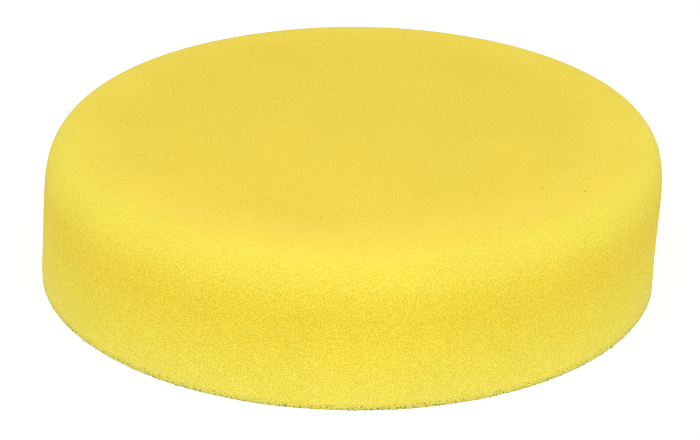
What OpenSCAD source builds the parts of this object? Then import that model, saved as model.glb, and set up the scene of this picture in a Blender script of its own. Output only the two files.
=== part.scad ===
// Foam polishing pad for a rotary or random-orbital polisher.
// It has four pieces, from the top down: a soft foam disc, a film of hot-melt adhesive, a knitted
// cloth, and the brushed loops of that cloth, which grip the hooks of the polisher's backing plate.
// The pad lies on its loops with the polishing face up. +Z is the axis of the pad, and the origin
// is on that axis, on the plane that the loops rest on.

/* [Foam] */
// Diameter of the pad
pad_d = 150; // [120:1:200]
// Height of the whole pad, from the loops' tips to the polishing face
pad_h = 38; // [30:0.5:50]
// How far the soft shoulder reaches in from the side
shoulder_w = 14; // [8:0.5:24]
// How far the soft shoulder reaches down from the polishing face
shoulder_h = 18; // [8:0.5:20]
// Fullness of the shoulder: 2 is a quarter ellipse, and a higher value is squarer
shoulder_power = 3.3; // [2:0.1:4]
// Round of the foam's lower edge, where the disc was cut
cut_edge_r = 0.4; // [0.1:0.1:0.4]
// How far the foam's lower edge hangs down over the cut edge of the backing
lip_h = 0.8; // [0.2:0.1:0.8]

/* [Backing] */
// How far the film, the cloth and the loops stop inside the side of the foam
backing_trim = 0.9; // [0.6:0.1:1.5]
// Thickness of the adhesive film
film_t = 0.1; // [0.1:0.05:0.5]
// Thickness of the knitted cloth
cloth_t = 0.3; // [0.2:0.1:1]
// Height of the brushed loops
loop_h = 0.8; // [0.6:0.1:2]

/* [Quality] */
// Steps along the curve of the shoulder
shoulder_steps = 16; // [8:1:32]
// Steps round the lower edge
cut_edge_steps = 4; // [2:1:8]
// Facets round the pad in the preview
pad_fn = 180; // [60:12:360]

/* [Hidden] */

// Room between the lip and the edge of the backing
lip_gap = 0.1;
quarter_turn = 90;

pad_r = pad_d / 2;
backing_r = pad_r - backing_trim;
lip_inner_r = backing_r + lip_gap;
cloth_z = loop_h;
film_z = cloth_z + cloth_t;
foam_z = film_z + film_t;
lip_z = foam_z - lip_h;

// A point on the shoulder, a quarter of a superellipse: 0 is at the side, 90 on the face
function shoulder_point(angle) = [
    pad_r - shoulder_w * (1 - pow(cos(angle), 2 / shoulder_power)),
    pad_h - shoulder_h * (1 - pow(sin(angle), 2 / shoulder_power))
];

// A point on the round of the lower edge: 0 is under the foam, 90 at the side
function cut_edge_point(angle) = [
    pad_r - cut_edge_r * (1 - sin(angle)),
    lip_z + cut_edge_r * (1 - cos(angle))
];

// Half of the foam's section, from the axis out over the backing, down and round the lip, up the
// side, and back along the polishing face
function foam_section() = concat(
    [[0, foam_z], [lip_inner_r, foam_z], [lip_inner_r, lip_z]],
    [for (i = [0 : cut_edge_steps]) cut_edge_point(quarter_turn * i / cut_edge_steps)],
    [for (i = [0 : shoulder_steps]) shoulder_point(quarter_turn * i / shoulder_steps)],
    [[0, pad_h]]
);

// A round layer of the backing, its lower face at height z
module backing_layer(z, thickness) {
    translate([0, 0, z])
        cylinder(r = backing_r, h = thickness, $fn = pad_fn);
}

// Open-cell polyurethane foam, the part that polishes
module foam_pad() {
    color("#f4dc55")
        rotate_extrude($fn = pad_fn)
            polygon(foam_section());
}

// Hot-melt adhesive between the foam and the cloth
module adhesive_film() {
    color("#d9cfa6")
        backing_layer(film_z, film_t);
}

// Knitted ground of the loop fabric
module backing_cloth() {
    color("#2b2c28")
        backing_layer(cloth_z, cloth_t);
}

// Brushed loops of the loop fabric, as the layer that they fill
module loop_pile() {
    color("#3a3b36")
        backing_layer(0, loop_h);
}

foam_pad();
adhesive_film();
backing_cloth();
loop_pile();
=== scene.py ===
"""A foam polishing pad, lying on its loop backing with the polishing face up.

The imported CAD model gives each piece's place and size. Its four plain solids are replaced by
detailed pieces: a disc of open-cell foam, the adhesive film under it, the knitted cloth and the
cloth's brushed loops. The cloth's frayed yarn ends are one more piece, which the CAD model does
without. Lengths are in metres, in the CAD model's frame.
"""

import math

import bpy
import numpy as np
from mathutils import Matrix, Vector, noise


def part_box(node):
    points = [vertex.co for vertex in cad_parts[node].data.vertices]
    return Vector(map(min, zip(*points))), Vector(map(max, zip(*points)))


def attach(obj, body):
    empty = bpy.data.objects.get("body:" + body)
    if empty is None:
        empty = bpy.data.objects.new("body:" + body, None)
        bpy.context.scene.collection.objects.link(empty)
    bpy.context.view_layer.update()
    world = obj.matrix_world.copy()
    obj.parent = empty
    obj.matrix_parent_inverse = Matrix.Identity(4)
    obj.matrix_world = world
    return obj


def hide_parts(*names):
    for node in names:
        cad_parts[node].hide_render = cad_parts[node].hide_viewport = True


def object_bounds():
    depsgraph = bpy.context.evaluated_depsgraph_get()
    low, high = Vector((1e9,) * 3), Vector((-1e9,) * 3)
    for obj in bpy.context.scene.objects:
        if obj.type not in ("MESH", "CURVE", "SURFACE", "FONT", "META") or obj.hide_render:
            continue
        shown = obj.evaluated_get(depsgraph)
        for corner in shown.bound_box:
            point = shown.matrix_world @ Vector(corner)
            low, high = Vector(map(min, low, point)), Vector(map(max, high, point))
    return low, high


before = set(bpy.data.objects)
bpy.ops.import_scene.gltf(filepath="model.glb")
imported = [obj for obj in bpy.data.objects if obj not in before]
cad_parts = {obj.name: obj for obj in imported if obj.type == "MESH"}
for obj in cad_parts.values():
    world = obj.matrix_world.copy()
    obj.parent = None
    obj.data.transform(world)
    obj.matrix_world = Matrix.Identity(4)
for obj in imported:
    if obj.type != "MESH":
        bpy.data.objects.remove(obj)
cad_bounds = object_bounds()

MM = 0.001
TURN = 2 * math.pi
BODY = "root"

# ---------------------------------------------------------------- sizes, from the CAD nodes

foam_low, foam_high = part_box("foam_pad")
film_low, film_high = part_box("adhesive_film")
cloth_low, cloth_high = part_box("backing_cloth")
pile_low, pile_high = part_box("loop_pile")
PAD_R = (foam_high.x - foam_low.x) / 2
PAD_H = foam_high.z - foam_low.z
BACKING_R = (cloth_high.x - cloth_low.x) / 2

# The foam's section, as the CAD model draws it but for a tighter round on the cut edge
SHOULDER_W = 14 * MM
SHOULDER_H = 18 * MM
SHOULDER_POWER = 3.3
CUT_EDGE_R = 0.3 * MM
LIP_GAP = 0.1 * MM
LIP_INNER_R = BACKING_R + LIP_GAP
CURVE_POINTS = 48

# How the soft disc strays from a true one: how far its top has shifted and how evenly the shift
# grows with height, how oval it is at the foot and at the top, and how far its foot spreads
LEAN = 2.2 * MM
LEAN_POWER = 1.25
OVAL_LOW = -0.006
OVAL_HIGH = 0.007
FOOT_FLARE = 0.12 * MM

# The distance between the foam mesh's points on each stretch of it, and how much they scatter
FACE_STEP = 1.2 * MM
SIDE_STEP = 0.52 * MM
LIP_STEP = 0.45 * MM
HIDDEN_STEP = 5 * MM
SCATTER = 0.22


# ---------------------------------------------------------------- meshes

def new_piece(name, points, faces, material):
    """A smooth-shaded mesh object with one material, riding on the pad's one body."""
    mesh = bpy.data.meshes.new(name)
    mesh.from_pydata([tuple(p) for p in points], [], faces)
    mesh.shade_smooth()
    mesh.materials.append(material)
    piece = bpy.data.objects.new(name, mesh)
    bpy.context.scene.collection.objects.link(piece)
    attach(piece, BODY)
    return piece


def ripple(points, wavelength, seed):
    """Smooth noise at each point, from -1 to 1, with bumps about a wavelength across."""
    shift = Vector((3.7, 11.3, 5.9)) * seed
    return np.array([noise.noise(Vector(p) / wavelength + shift) for p in points])


def fade(values, start, end):
    """0 up to start, 1 from end on, and a smooth rise between them."""
    t = np.clip((values - start) / (end - start), 0, 1)
    return t * t * (3 - 2 * t)


def spaced(outline, step):
    """The outline again, as points about a step apart."""
    legs = np.linalg.norm(np.diff(outline, axis=0), axis=1)
    along = np.concatenate([[0], np.cumsum(legs)])
    at = np.linspace(0, along[-1], max(2, round(along[-1] / step) + 1))
    return np.column_stack([np.interp(at, along, outline[:, k]) for k in (0, 1)])


def zip_rings(inner, outer):
    """The triangles between two rings of (angle, vertex number) pairs, facing outwards."""
    faces = []
    i = j = 0
    while i < len(inner) - 1 or j < len(outer) - 1:
        a, b = inner[i][1], outer[j][1]
        if j == len(outer) - 1 or (i < len(inner) - 1 and inner[i + 1][0] < outer[j + 1][0]):
            i += 1
            faces.append((a, b, inner[i][1]))
        else:
            j += 1
            faces.append((a, b, outer[j][1]))
    return faces


def turned(outline, steps, rng, scatter=0.0):
    """A solid turned about Z from an outline of (radius, height) points, from axis to axis.

    Each point makes a ring with as many vertices as its radius needs, and each vertex slides by
    up to the share scatter of the room round it. Returns the vertices, the outward direction at
    each, and the triangles.
    """
    along = np.gradient(outline, axis=0)
    along /= np.linalg.norm(along, axis=1)[:, None]
    gaps = np.linalg.norm(np.diff(outline, axis=0), axis=1)
    room = np.minimum(np.append(gaps, gaps[-1]), np.append(gaps[0], gaps))
    points, outward, faces = [], [], []
    last, first = None, 0
    for (r, z), (tr, tz), step, gap in zip(outline, along, steps, room):
        count = max(6, round(TURN * r / step)) if r > step / 4 else 1
        slide = rng.uniform(-scatter, scatter, (2, count)) * min(step, gap) * (count > 1)
        angle = TURN * (np.arange(count) + rng.uniform(-0.5, 0.5)) / count
        angle += slide[0] / max(r, step)
        radius, height = r + slide[1] * tr, z + slide[1] * tz
        c, s = np.cos(angle), np.sin(angle)
        points.append(np.column_stack([radius * c, radius * s, height]))
        outward.append(np.column_stack([-tz * c, -tz * s, np.full(count, tr)]))
        ring = list(zip(angle, range(first, first + count)))
        if count > 1:
            ring.append((angle[0] + TURN, first))
        if last:
            faces += zip_rings(last, ring)
        last = ring
        first += count
    return np.concatenate(points), np.concatenate(outward), faces


def tubes(paths, radii, across, sides):
    """Closed tubes along many paths of the same number of points.

    paths is (tubes, points, 3), radii one number each, and across a direction for each tube that
    its path keeps clear of. Returns vertices and faces.
    """
    n, steps, _ = paths.shape
    along = np.gradient(paths, axis=1)
    along /= np.linalg.norm(along, axis=2, keepdims=True)
    side = np.cross(along, across[:, None, :])
    side /= np.linalg.norm(side, axis=2, keepdims=True)
    other = np.cross(along, side)
    angle = TURN * np.arange(sides) / sides
    spokes = (np.cos(angle)[:, None] * side[:, :, None, :]
              + np.sin(angle)[:, None] * other[:, :, None, :])
    points = (paths[:, :, None, :] + radii[:, None, None, None] * spokes).reshape(-1, 3)
    faces = []
    for tube in range(n):
        start = tube * steps * sides
        for k in range(steps - 1):
            for s in range(sides):
                a, b = start + k * sides + s, start + k * sides + (s + 1) % sides
                faces.append((a, a + sides, b + sides, b))
        faces.append(tuple(range(start, start + sides)))
        end = start + (steps - 1) * sides
        faces.append(tuple(reversed(range(end, end + sides))))
    return points, faces


# ---------------------------------------------------------------- material tools

class Surface:
    """A material with a Principled shader, and short ways to build the nodes that feed it."""

    def __init__(self, name, shader):
        self.material = bpy.data.materials.new(name)
        self.material.use_nodes = True
        self.tree = self.material.node_tree
        self.shader = self.tree.nodes["Principled BSDF"]
        self.place = self.add("TexCoord").outputs["Object"]
        for socket, value in shader.items():
            self.feed(self.shader.inputs[socket], value)

    def add(self, kind, inputs=(), **settings):
        """A new node of that kind, with its settings and what its inputs are fed."""
        made = self.tree.nodes.new("ShaderNode" + kind)
        for name, value in settings.items():
            setattr(made, name, value)
        for name, value in dict(inputs).items():
            self.feed(made.inputs[name], value)
        return made

    def feed(self, socket, value):
        """Joins the socket to another node's output, or sets it to a number or a colour."""
        if isinstance(value, bpy.types.NodeSocket):
            self.tree.links.new(value, socket)
        elif socket.type == "RGBA" and len(value) == 3:
            socket.default_value = (*value, 1)
        else:
            socket.default_value = value

    def calc(self, operation, a, b=0.0):
        """The result of a Math node."""
        made = self.add("Math", operation=operation)
        for socket, value in zip(made.inputs, (a, b)):
            self.feed(socket, value)
        return made.outputs[0]

    def remap(self, value, start, end, low=0.0, high=1.0, smooth=False):
        """low where the value is at start, high where it is at end, and held there past them."""
        made = self.add("MapRange", {"Value": value, "From Min": start, "From Max": end,
                                     "To Min": low, "To Max": high},
                        interpolation_type="SMOOTHSTEP" if smooth else "LINEAR")
        return made.outputs["Result"]

    def mix(self, share, a, b, blend="MIX"):
        """Colour a at a share of 0 and colour b, or the blend of both, at a share of 1."""
        made = self.add("Mix", data_type="RGBA", blend_type=blend)
        for socket, value in zip((made.inputs[0], made.inputs[6], made.inputs[7]), (share, a, b)):
            self.feed(socket, value)
        return made.outputs[2]

    def noise(self, size, detail=2.0, roughness=0.5):
        """Noise from about 0 to 1, with blobs of that size in metres."""
        made = self.add("TexNoise", {"Vector": self.place, "Scale": 1 / size,
                                     "Detail": detail, "Roughness": roughness})
        return made.outputs["Fac"]

    def cells(self, size):
        """A node of cells of that size in metres.

        Its Distance is how far a point is from its cell's middle, in cell sizes, and its Color
        is a random one for each cell.
        """
        return self.add("TexVoronoi", {"Vector": self.place, "Scale": 1 / size})

    def bump(self, height, depth, strength=1.0):
        """A normal for a surface that rises by the depth where the height is 1."""
        inputs = {"Height": height, "Distance": depth, "Strength": strength}
        return self.add("Bump", inputs).outputs["Normal"]

    def grey(self, value):
        """A colour with the value in all three channels."""
        channels = {"Red": value, "Green": value, "Blue": value}
        return self.add("CombineColor", channels).outputs["Color"]

    def ramp(self, value, stops):
        """Colours at stops from 0 to 1, and an even blend between them."""
        made = self.add("ValToRGB", {"Fac": value})
        points = made.color_ramp.elements
        while len(points) < len(stops):
            points.new(1.0)
        for point, (at, colour) in zip(points, stops.items()):
            point.position = at
            point.color = (*colour, 1)
        return made.outputs["Color"]

    def axis(self, name):
        """The point's place along X, Y or Z."""
        return self.add("SeparateXYZ", {"Vector": self.place}).outputs[name]


# ---------------------------------------------------------------- materials

def foam_tone_and_painted_light(s, height):
    """The foam's broad colour, with light and shade painted in. It is even on the face, with a
    painted highlight towards the face's edge and on the shoulder, painted bounce light from the
    floor low on the side, painted shade in a band about half-way up the side, where it is
    deepest, and an olive tint at the very foot.
    """
    face = (0.765, 0.598, 0.058)
    # Light and shade painted in by height: bounce light from the floor low down, shade in the
    # deepest band half-way up, and a highlight on the shoulder; the very foot is olive.
    side = s.ramp(s.remap(height, 0, foam_high.z), {
        0.00: (0.670, 0.615, 0.113),
        0.05: (0.795, 0.682, 0.086),
        0.30: (0.802, 0.660, 0.059),
        0.56: (0.792, 0.610, 0.043),
        0.70: (0.798, 0.630, 0.049),
        0.82: (0.802, 0.665, 0.066),
        0.95: (0.792, 0.667, 0.076),
        1.00: (0.797, 0.630, 0.069)})
    flat_place = s.add("VectorMath", {"Vector": s.place, "Vector_001": (1, 1, 0)},
                       operation="MULTIPLY").outputs["Vector"]
    radius = s.add("VectorMath", {"Vector": flat_place}, operation="LENGTH").outputs["Value"]
    # The face's outer band takes the side's paler tone: a painted highlight towards the shoulder.
    rim = s.remap(radius, PAD_R - 24 * MM, PAD_R - 10 * MM, smooth=True)
    return s.mix(rim, face, side)


def foam_cells(s, height):
    """How far a point stands out from a pore to a cell wall, and how wide open the cells are.

    Both go from 0 to 1. The cells are closed on the face, and open below the shoulder. Near
    the foot they are a little less open, which paints in bounce light from the floor that pales
    the pores, and makes the relief shallower there too.
    """
    pores = s.remap(s.cells(0.40 * MM).outputs["Distance"], 0.25, 0.55)
    flecks = s.remap(s.noise(0.17 * MM, detail=1.0), 0.38, 0.62)
    walls = s.calc("ADD", s.calc("MULTIPLY", pores, 0.6), s.calc("MULTIPLY", flecks, 0.4))
    top, low = foam_high.z, foam_low.z
    below_face = s.remap(height, top + 1 * MM, top - 13 * MM, smooth=True)
    # Less open towards the foot: painted bounce light from the floor, and shallower relief.
    painted_bounce_near_foot = s.remap(height, low, low + 16 * MM, 0.75, 1.0, smooth=True)
    return walls, s.calc("MULTIPLY", below_face, painted_bounce_near_foot)


def with_low_dark_specks(s, colour, height):
    """The colour with olive-dark specks on the foam's lip, strongest at its lower edge and fading
    out by 2 mm up.
    """
    amount = s.remap(height, 0.3 * MM, 2.0 * MM, 0.8, 0.0)
    specks = s.remap(s.noise(0.45 * MM, detail=1.0), 0.575, 0.645)
    return s.mix(s.calc("MULTIPLY", amount, specks), colour, (0.13, 0.11, 0.025))


def with_painted_pinhole_shade(s, colour, height):
    """The colour with painted shade in a few pinholes of different sizes, on the face and the
    shoulder: dark dots in the colour, with no hole in the surface.
    """
    cells = s.cells(5 * MM)
    chance = s.add("SeparateColor", {"Color": cells.outputs["Color"]}).outputs["Red"]
    size = s.remap(chance, 0.2, 1.0, 0.0, 0.048)
    # Painted shade: each pinhole is a dark dot of colour only.
    painted_pinhole_shade = s.calc("LESS_THAN", cells.outputs["Distance"], size)
    depth = s.remap(height, foam_high.z - 18 * MM, foam_high.z - 9 * MM, 0.0, 0.75)
    return s.mix(s.calc("MULTIPLY", painted_pinhole_shade, depth), colour, (0.30, 0.24, 0.04))


def foam_material():
    """Yellow open-cell foam: pale cell walls and deep yellow pores.

    The cells are close and shallow on the polishing face and wide open on the cut side. The
    diffuse roughness keeps the foam almost as bright where it is lit and seen aslant. Light and
    shade are painted into its colour by height and towards the face's edge.
    """
    s = Surface("yellow_foam", {"Roughness": 0.95, "Diffuse Roughness": 0.3,
                                "Specular IOR Level": 0.08,
                                "Sheen Weight": 0.06, "Sheen Roughness": 0.4})
    height = s.axis("Z")
    walls, openness = foam_cells(s, height)
    closed = s.mix(walls, (0.945, 0.925, 0.66), (1.045, 1.055, 1.25))
    opened = s.mix(walls, (0.89, 0.815, 0.10), (1.07, 1.128, 1.62))
    colour = s.mix(1.0, foam_tone_and_painted_light(s, height), s.mix(openness, closed, opened), "MULTIPLY")
    mottle = s.remap(s.noise(22 * MM, detail=4.0), 0.35, 0.65, 0.985, 1.015)
    colour = s.mix(1.0, colour, s.grey(mottle), "MULTIPLY")
    colour = with_painted_pinhole_shade(s, with_low_dark_specks(s, colour, height), height)
    s.feed(s.shader.inputs["Base Color"], colour)
    relief = s.calc("MULTIPLY", walls, s.remap(openness, 0.0, 1.0, 0.6, 1.0))
    s.feed(s.shader.inputs["Normal"], s.bump(relief, 0.075 * MM, 0.9))
    return s.material


def adhesive_material():
    """Set hot-melt adhesive: cloudy amber, with a satin skin."""
    s = Surface("hot_melt_adhesive", {"Specular IOR Level": 0.5})
    cloud = s.noise(3 * MM, detail=3.0)
    s.feed(s.shader.inputs["Base Color"], s.mix(cloud, (0.50, 0.40, 0.15), (0.70, 0.62, 0.34)))
    s.feed(s.shader.inputs["Roughness"], s.remap(cloud, 0.3, 0.7, 0.3, 0.5))
    s.feed(s.shader.inputs["Normal"], s.bump(s.noise(0.8 * MM), 0.04 * MM))
    return s.material


def yarn_material(name, dark, pale, sheen):
    """Polyamide yarn between a dark and a pale tone: fine filaments, uneven dye and sheen."""
    s = Surface(name, {"Sheen Weight": sheen, "Sheen Roughness": 0.4, "Specular IOR Level": 0.4})
    strand = s.noise(0.12 * MM, detail=3.0, roughness=0.7)
    patch = s.noise(4 * MM, detail=2.0)
    tone = s.calc("ADD", s.calc("MULTIPLY", strand, 0.6), s.calc("MULTIPLY", patch, 0.4))
    s.feed(s.shader.inputs["Base Color"], s.mix(s.remap(tone, 0.35, 0.65), dark, pale))
    s.feed(s.shader.inputs["Roughness"], s.remap(strand, 0.3, 0.7, 0.55, 0.85))
    s.feed(s.shader.inputs["Normal"], s.bump(strand, 0.03 * MM, 0.7))
    return s.material


def knit_material():
    """Charcoal warp-knit ground: ribs of small stitches."""
    s = Surface("knitted_cloth", {"Roughness": 0.85, "Sheen Weight": 0.2, "Sheen Roughness": 0.5,
                                  "Specular IOR Level": 0.3})
    rib = s.calc("SINE", s.calc("MULTIPLY", s.axis("X"), TURN / (1.05 * MM)))
    stitch = s.calc("SINE", s.calc("MULTIPLY", s.axis("Y"), TURN / (0.7 * MM)))
    stitch = s.calc("ADD", stitch, s.calc("MULTIPLY", s.noise(0.3 * MM), 1.5))
    weave = s.remap(s.calc("ADD", rib, stitch), -1.5, 2.5)
    s.feed(s.shader.inputs["Base Color"],
           s.mix(weave, (0.012, 0.012, 0.010), (0.055, 0.055, 0.048)))
    s.feed(s.shader.inputs["Normal"], s.bump(weave, 0.08 * MM))
    return s.material


def floor_material():
    """Plain pale paper on a light table, which keeps shadows and reflected colour faint."""
    s = Surface("pale_floor", {"Roughness": 0.9, "Specular IOR Level": 0.0,
                               "Emission Color": (1, 1, 1, 1), "Emission Strength": 0.86})
    fibres = s.noise(0.4, detail=3.0)
    s.feed(s.shader.inputs["Base Color"], s.mix(fibres, (0.14, 0.14, 0.14), (0.17, 0.17, 0.17)))
    return s.material


# ---------------------------------------------------------------- pieces

def foam_outline():
    """Half of the foam's section, from the middle of the polishing face round to the back.

    With each point comes the distance between the mesh's points there.
    """
    top, low, recess = foam_high.z, foam_low.z, film_high.z
    turn = np.linspace(0, math.pi / 2, CURVE_POINTS)
    power = 2 / SHOULDER_POWER
    shoulder = np.column_stack([PAD_R - SHOULDER_W * (1 - np.sin(turn) ** power),
                                top - SHOULDER_H * (1 - np.cos(turn) ** power)])
    cut_edge = np.column_stack([PAD_R - CUT_EDGE_R * (1 - np.cos(turn)),
                                low + CUT_EDGE_R * (1 - np.sin(turn))])
    lip_inside = np.array([[LIP_INNER_R, low], [LIP_INNER_R, recess]])
    stretches = [(np.array([[0, top], shoulder[0]]), FACE_STEP),
                 (np.concatenate([shoulder, cut_edge[:1]]), SIDE_STEP),
                 (np.concatenate([cut_edge, lip_inside]), LIP_STEP),
                 (np.array([lip_inside[-1], [0, recess]]), HIDDEN_STEP)]
    points, steps = [[[0, top]]], [FACE_STEP]
    for stretch, step in stretches:
        placed = spaced(stretch, step)[1:]
        points.append(placed)
        steps += [step] * len(placed)
    return np.concatenate(points), steps


def relaxed(points):
    """The points moved as the soft disc has crept: leaning a little, and slightly oval."""
    share = np.clip((points[:, 2] - foam_low.z) / PAD_H, 0, 1)
    oval = OVAL_LOW + (OVAL_HIGH - OVAL_LOW) * share
    lean = LEAN * share ** LEAN_POWER
    x, y = points[:, 0], points[:, 1]
    return np.column_stack([x + oval * y + lean, y + oval * x, points[:, 2]])


def make_foam():
    """The foam disc, with its uneven skin, its cells and its torn lower edge.

    The heights of its swells, cells and tears are in millimetres.
    """
    rng = np.random.default_rng(11)
    outline, steps = foam_outline()
    points, outward, faces = turned(outline, steps, rng, scatter=SCATTER)
    radius = np.hypot(points[:, 0], points[:, 1])
    lift = points[:, 2] - foam_low.z
    shown = fade(lift, 0.5 * MM, 2.0 * MM)
    cut_side = fade(radius, PAD_R - SHOULDER_W, PAD_R)
    swell = 0.12 * ripple(points, 38 * MM, 1) + 0.04 * ripple(points, 9 * MM, 2)
    foot = FOOT_FLARE * (1 - fade(lift, 0, 8 * MM)) * fade(radius, BACKING_R, PAD_R)
    cells = 0.05 * cut_side * ripple(points, 1.05 * MM, 3)
    points = points + outward * ((swell + cells) * shown * MM)[:, None]
    points[:, :2] *= (1 + foot / PAD_R)[:, None]
    lip = fade(radius, BACKING_R, LIP_INNER_R) * (1 - fade(lift, 0.2 * MM, 1.4 * MM))
    torn = 0.30 + 0.16 * ripple(points, 1.1 * MM, 4) + 0.06 * ripple(points, 5 * MM, 5)
    deepest = 0.37
    points[:, 2] -= lip * np.clip(torn, 0, deepest) * MM
    foam = new_piece("foam_body", relaxed(points), faces, foam_material())
    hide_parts("foam_pad")


def thin_disc(low, high, radius, seed, wave):
    """A thin round layer with a trimmed edge that strays by up to the wave."""
    rng = np.random.default_rng(seed)
    edge, inside = 0.5 * MM, 3.0 * MM
    middle = radius - 2 * inside
    top = np.concatenate([spaced(np.array([[0, high], [middle, high]]), inside),
                          spaced(np.array([[middle, high], [radius, high]]), edge)[1:]])
    outline = np.concatenate([top, top[::-1] + np.array([0, low - high])])
    steps = np.where(outline[:, 0] > middle, edge, inside)
    points, _, faces = turned(outline, steps, rng)
    round_edge = fade(np.hypot(points[:, 0], points[:, 1]), radius - 2 * edge, radius)
    flat = np.column_stack([points[:, :2], np.zeros(len(points))])
    trim = 1 + round_edge * wave * ripple(flat, 2.4 * MM, seed) / radius
    points[:, :2] *= trim[:, None]
    return relaxed(points), faces


def make_film():
    """The adhesive film, squeezed unevenly out to the edge."""
    points, faces = thin_disc(film_low.z, film_high.z, BACKING_R, 21, 0.12 * MM)
    film = new_piece("glue_film", points, faces, adhesive_material())
    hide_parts("adhesive_film")
    return film


def make_cloth():
    """The knitted ground of the loop fabric, cut to a disc."""
    points, faces = thin_disc(cloth_low.z, cloth_high.z, BACKING_R, 31, 0.16 * MM)
    cloth = new_piece("knit_ground", points, faces, knit_material())
    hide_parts("backing_cloth")
    return cloth


def loop_places(rng):
    """Where the loops stand: rows across the cloth, then two closer rings near its edge."""
    wale, course, margin = 2.0 * MM, 1.62 * MM, 1.6 * MM
    half_x, half_y = BACKING_R // wale, BACKING_R // course
    x, y = np.meshgrid(np.arange(-half_x, half_x + 1) * wale,
                       np.arange(-half_y, half_y + 1) * course)
    y = y + (np.arange(x.shape[1]) % 2) * course / 2
    field = np.column_stack([x.ravel(), y.ravel()])
    field = field[np.hypot(*field.T) < BACKING_R - margin]
    field = field + rng.normal(0, 0.16 * MM, field.shape)
    rings = []
    for inset in (0.7 * MM, 1.3 * MM):
        radius = BACKING_R - inset
        count = round(TURN * radius / (0.85 * MM))
        angle = TURN * (np.arange(count) + rng.uniform(-0.3, 0.3, count)) / count
        rings.append(radius * np.column_stack([np.cos(angle), np.sin(angle)]))
    return field, np.concatenate(rings)


def make_loops():
    """The brushed loops that stand down from the cloth and grip the plate's hooks.

    Those near the edge follow it and lean outwards, and are finer and shorter.
    """
    rng = np.random.default_rng(41)
    rim_yarn, rim_span = 0.7, 0.6
    bulge, roundness = 0.35, 0.75
    field, rim = loop_places(rng)
    feet = np.concatenate([field, rim])
    n = len(feet)
    inner = len(field)
    heading = rng.normal(math.pi / 2, 0.4, n)
    heading[inner:] += np.arctan2(rim[:, 1], rim[:, 0])
    run = np.column_stack([np.cos(heading), np.sin(heading), np.zeros(n)])
    lean = np.column_stack([-run[:, 1], run[:, 0], np.zeros(n)])
    yarn = rng.uniform(0.12, 0.20, n) * MM
    yarn[inner:] *= rim_yarn
    root_z = cloth_low.z + 0.08 * MM
    span = rng.uniform(1.1, 1.9, n) * MM
    span[inner:] *= rim_span
    tilt = rng.normal(0, 0.30, n) * MM
    tilt[inner:] = -abs(tilt[inner:])
    drop = root_z - pile_low.z - yarn - rng.exponential(0.07, n).clip(0, 0.3) * MM
    u = np.linspace(0, 1, 6)
    arch = np.sin(math.pi * u)
    along = -np.cos(math.pi * u) / 2 * (1 + bulge * arch)
    paths = (np.column_stack([feet, np.full(n, root_z)])[:, None, :]
             + run[:, None, :] * (span[:, None] * along)[:, :, None]
             + lean[:, None, :] * (tilt[:, None] * arch)[:, :, None])
    paths[:, :, 2] -= drop[:, None] * arch ** roundness
    points, faces = tubes(paths, yarn, lean, 3)
    points[:, 2] = np.maximum(points[:, 2], pile_low.z)
    yarn_look = yarn_material("loop_yarn", (0.018, 0.018, 0.015), (0.075, 0.073, 0.062), 0.3)
    loops = new_piece("brushed_loops", relaxed(points), faces, yarn_look)
    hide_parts("loop_pile")
    return loops


def make_yarn_ends():
    """Cut ends of the cloth's yarn, dragged out through the foam's lip when the pad was cut.

    They come in patches, which are closest together at the front.
    """
    rng = np.random.default_rng(51)
    tries = 1000
    angle = rng.uniform(0, TURN, tries)
    ring = np.column_stack([np.cos(angle), np.sin(angle), np.zeros(tries)])
    front = fade(-ring[:, 1], 0.2, 0.9)
    density = 0.22 + 0.43 * front + 0.5 * ripple(ring * PAD_R, 5 * MM, 6)
    out = ring[rng.uniform(0, 1, tries) < density]
    n = len(out)
    round_edge = np.column_stack([-out[:, 1], out[:, 0], np.zeros(n)])
    exit_z = pile_low.z + (0.30 + rng.exponential(0.45, n)).clip(0, 1.8) * MM
    proud = rng.uniform(-0.02, 0.08, n) * MM
    sweep = rng.normal(0, 0.16, n) * MM
    rise = rng.normal(0, 0.12, n) * MM
    start_r = LIP_INNER_R + 0.2 * MM
    u = np.linspace(0, 1, 5)
    radius = start_r + (PAD_R + FOOT_FLARE - start_r + proud)[:, None] * u ** 0.5
    paths = out[:, None, :] * radius[:, :, None]
    paths += round_edge[:, None, :] * (sweep[:, None] * u ** 2)[:, :, None]
    paths[:, :, 2] = exit_z[:, None] + rise[:, None] * u ** 2
    yarn = rng.uniform(0.05, 0.10, n) * MM
    points, faces = tubes(paths, yarn, round_edge, 5)
    points[:, 2] = np.maximum(points[:, 2], pile_low.z)
    yarn_look = yarn_material("ground_yarn", (0.05, 0.042, 0.010), (0.12, 0.105, 0.03), 0.05)
    ends = new_piece("frayed_yarn_ends", relaxed(points), faces, yarn_look)
    return ends


# ---------------------------------------------------------------- stage, light and camera

def make_floor():
    """A plain pale floor that reaches well past every view."""
    half = 6.0
    mesh = bpy.data.meshes.new("floor")
    corners = [(-half, -half, 0), (half, -half, 0), (half, half, 0), (-half, half, 0)]
    mesh.from_pydata(corners, [], [(0, 1, 2, 3)])
    mesh.materials.append(floor_material())
    floor = bpy.data.objects.new("floor", mesh)
    bpy.context.scene.collection.objects.link(floor)


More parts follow.
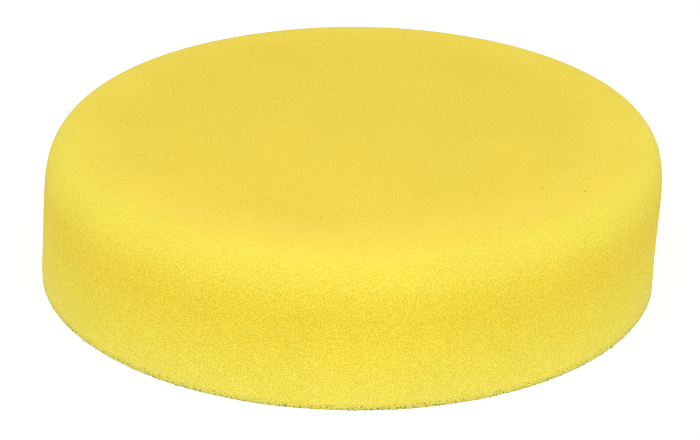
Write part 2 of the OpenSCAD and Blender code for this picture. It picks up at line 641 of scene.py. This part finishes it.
def make_sky():
    """Soft white light from all round."""
    world = bpy.data.worlds.new("studio")
    bpy.context.scene.world = world
    world.use_nodes = True
    background = world.node_tree.nodes["Background"]
    background.inputs["Color"].default_value = (1, 1, 1, 1)
    background.inputs["Strength"].default_value = 0.77


def make_softbox(name, place, width, height, watts, target):
    """A flat studio light that faces the target."""
    light = bpy.data.lights.new(name, "AREA")
    light.shape = "RECTANGLE"
    light.size = width
    light.size_y = height
    light.energy = watts
    softbox = bpy.data.objects.new(name, light)
    softbox.location = place
    softbox.rotation_euler = (Vector(target) - Vector(place)).to_track_quat("-Z", "Y").to_euler()
    bpy.context.scene.collection.objects.link(softbox)


def make_camera():
    """A long lens that looks down on the pad from the front, as in a catalogue picture."""
    distance, elevation, roll = 739.5 * MM, math.radians(24.25), math.radians(0.68)
    focal = 155.3
    aim_low, aim_left = 5.58 * MM, 0.51 * MM
    middle = Vector((LEAN / 2, 0, (cad_bounds[0].z + cad_bounds[1].z) / 2))
    back = Vector((0, -math.cos(elevation), math.sin(elevation)))
    right = Vector((1, 0, 0))
    up = back.cross(right)
    place = middle + back * distance
    aim = middle - up * aim_low - right * aim_left
    data = bpy.data.cameras.new("camera")
    data.lens = focal
    data.sensor_width = 36
    data.clip_start = 0.01
    camera = bpy.data.objects.new("camera", data)
    turn = (aim - place).to_track_quat("-Z", "Y").to_matrix() @ Matrix.Rotation(roll, 3, "Z")
    camera.matrix_world = Matrix.Translation(place) @ turn.to_4x4()
    bpy.context.scene.collection.objects.link(camera)
    bpy.context.scene.camera = camera


# ---------------------------------------------------------------- the scene

bpy.context.scene.view_settings.view_transform = "Standard"
# These two keep the foam's fine grain from being smoothed away
bpy.context.scene.cycles.denoising_prefilter = "NONE"
bpy.context.scene.cycles.filter_width = 1.0
make_camera()
make_foam()
film = make_film()
cloth = make_cloth()
loops = make_loops()
ends = make_yarn_ends()
make_floor()
make_sky()
make_softbox("front_box", (0.0, -0.46, 0.54), 0.8, 0.4, 2.5, (0, 0, 0))
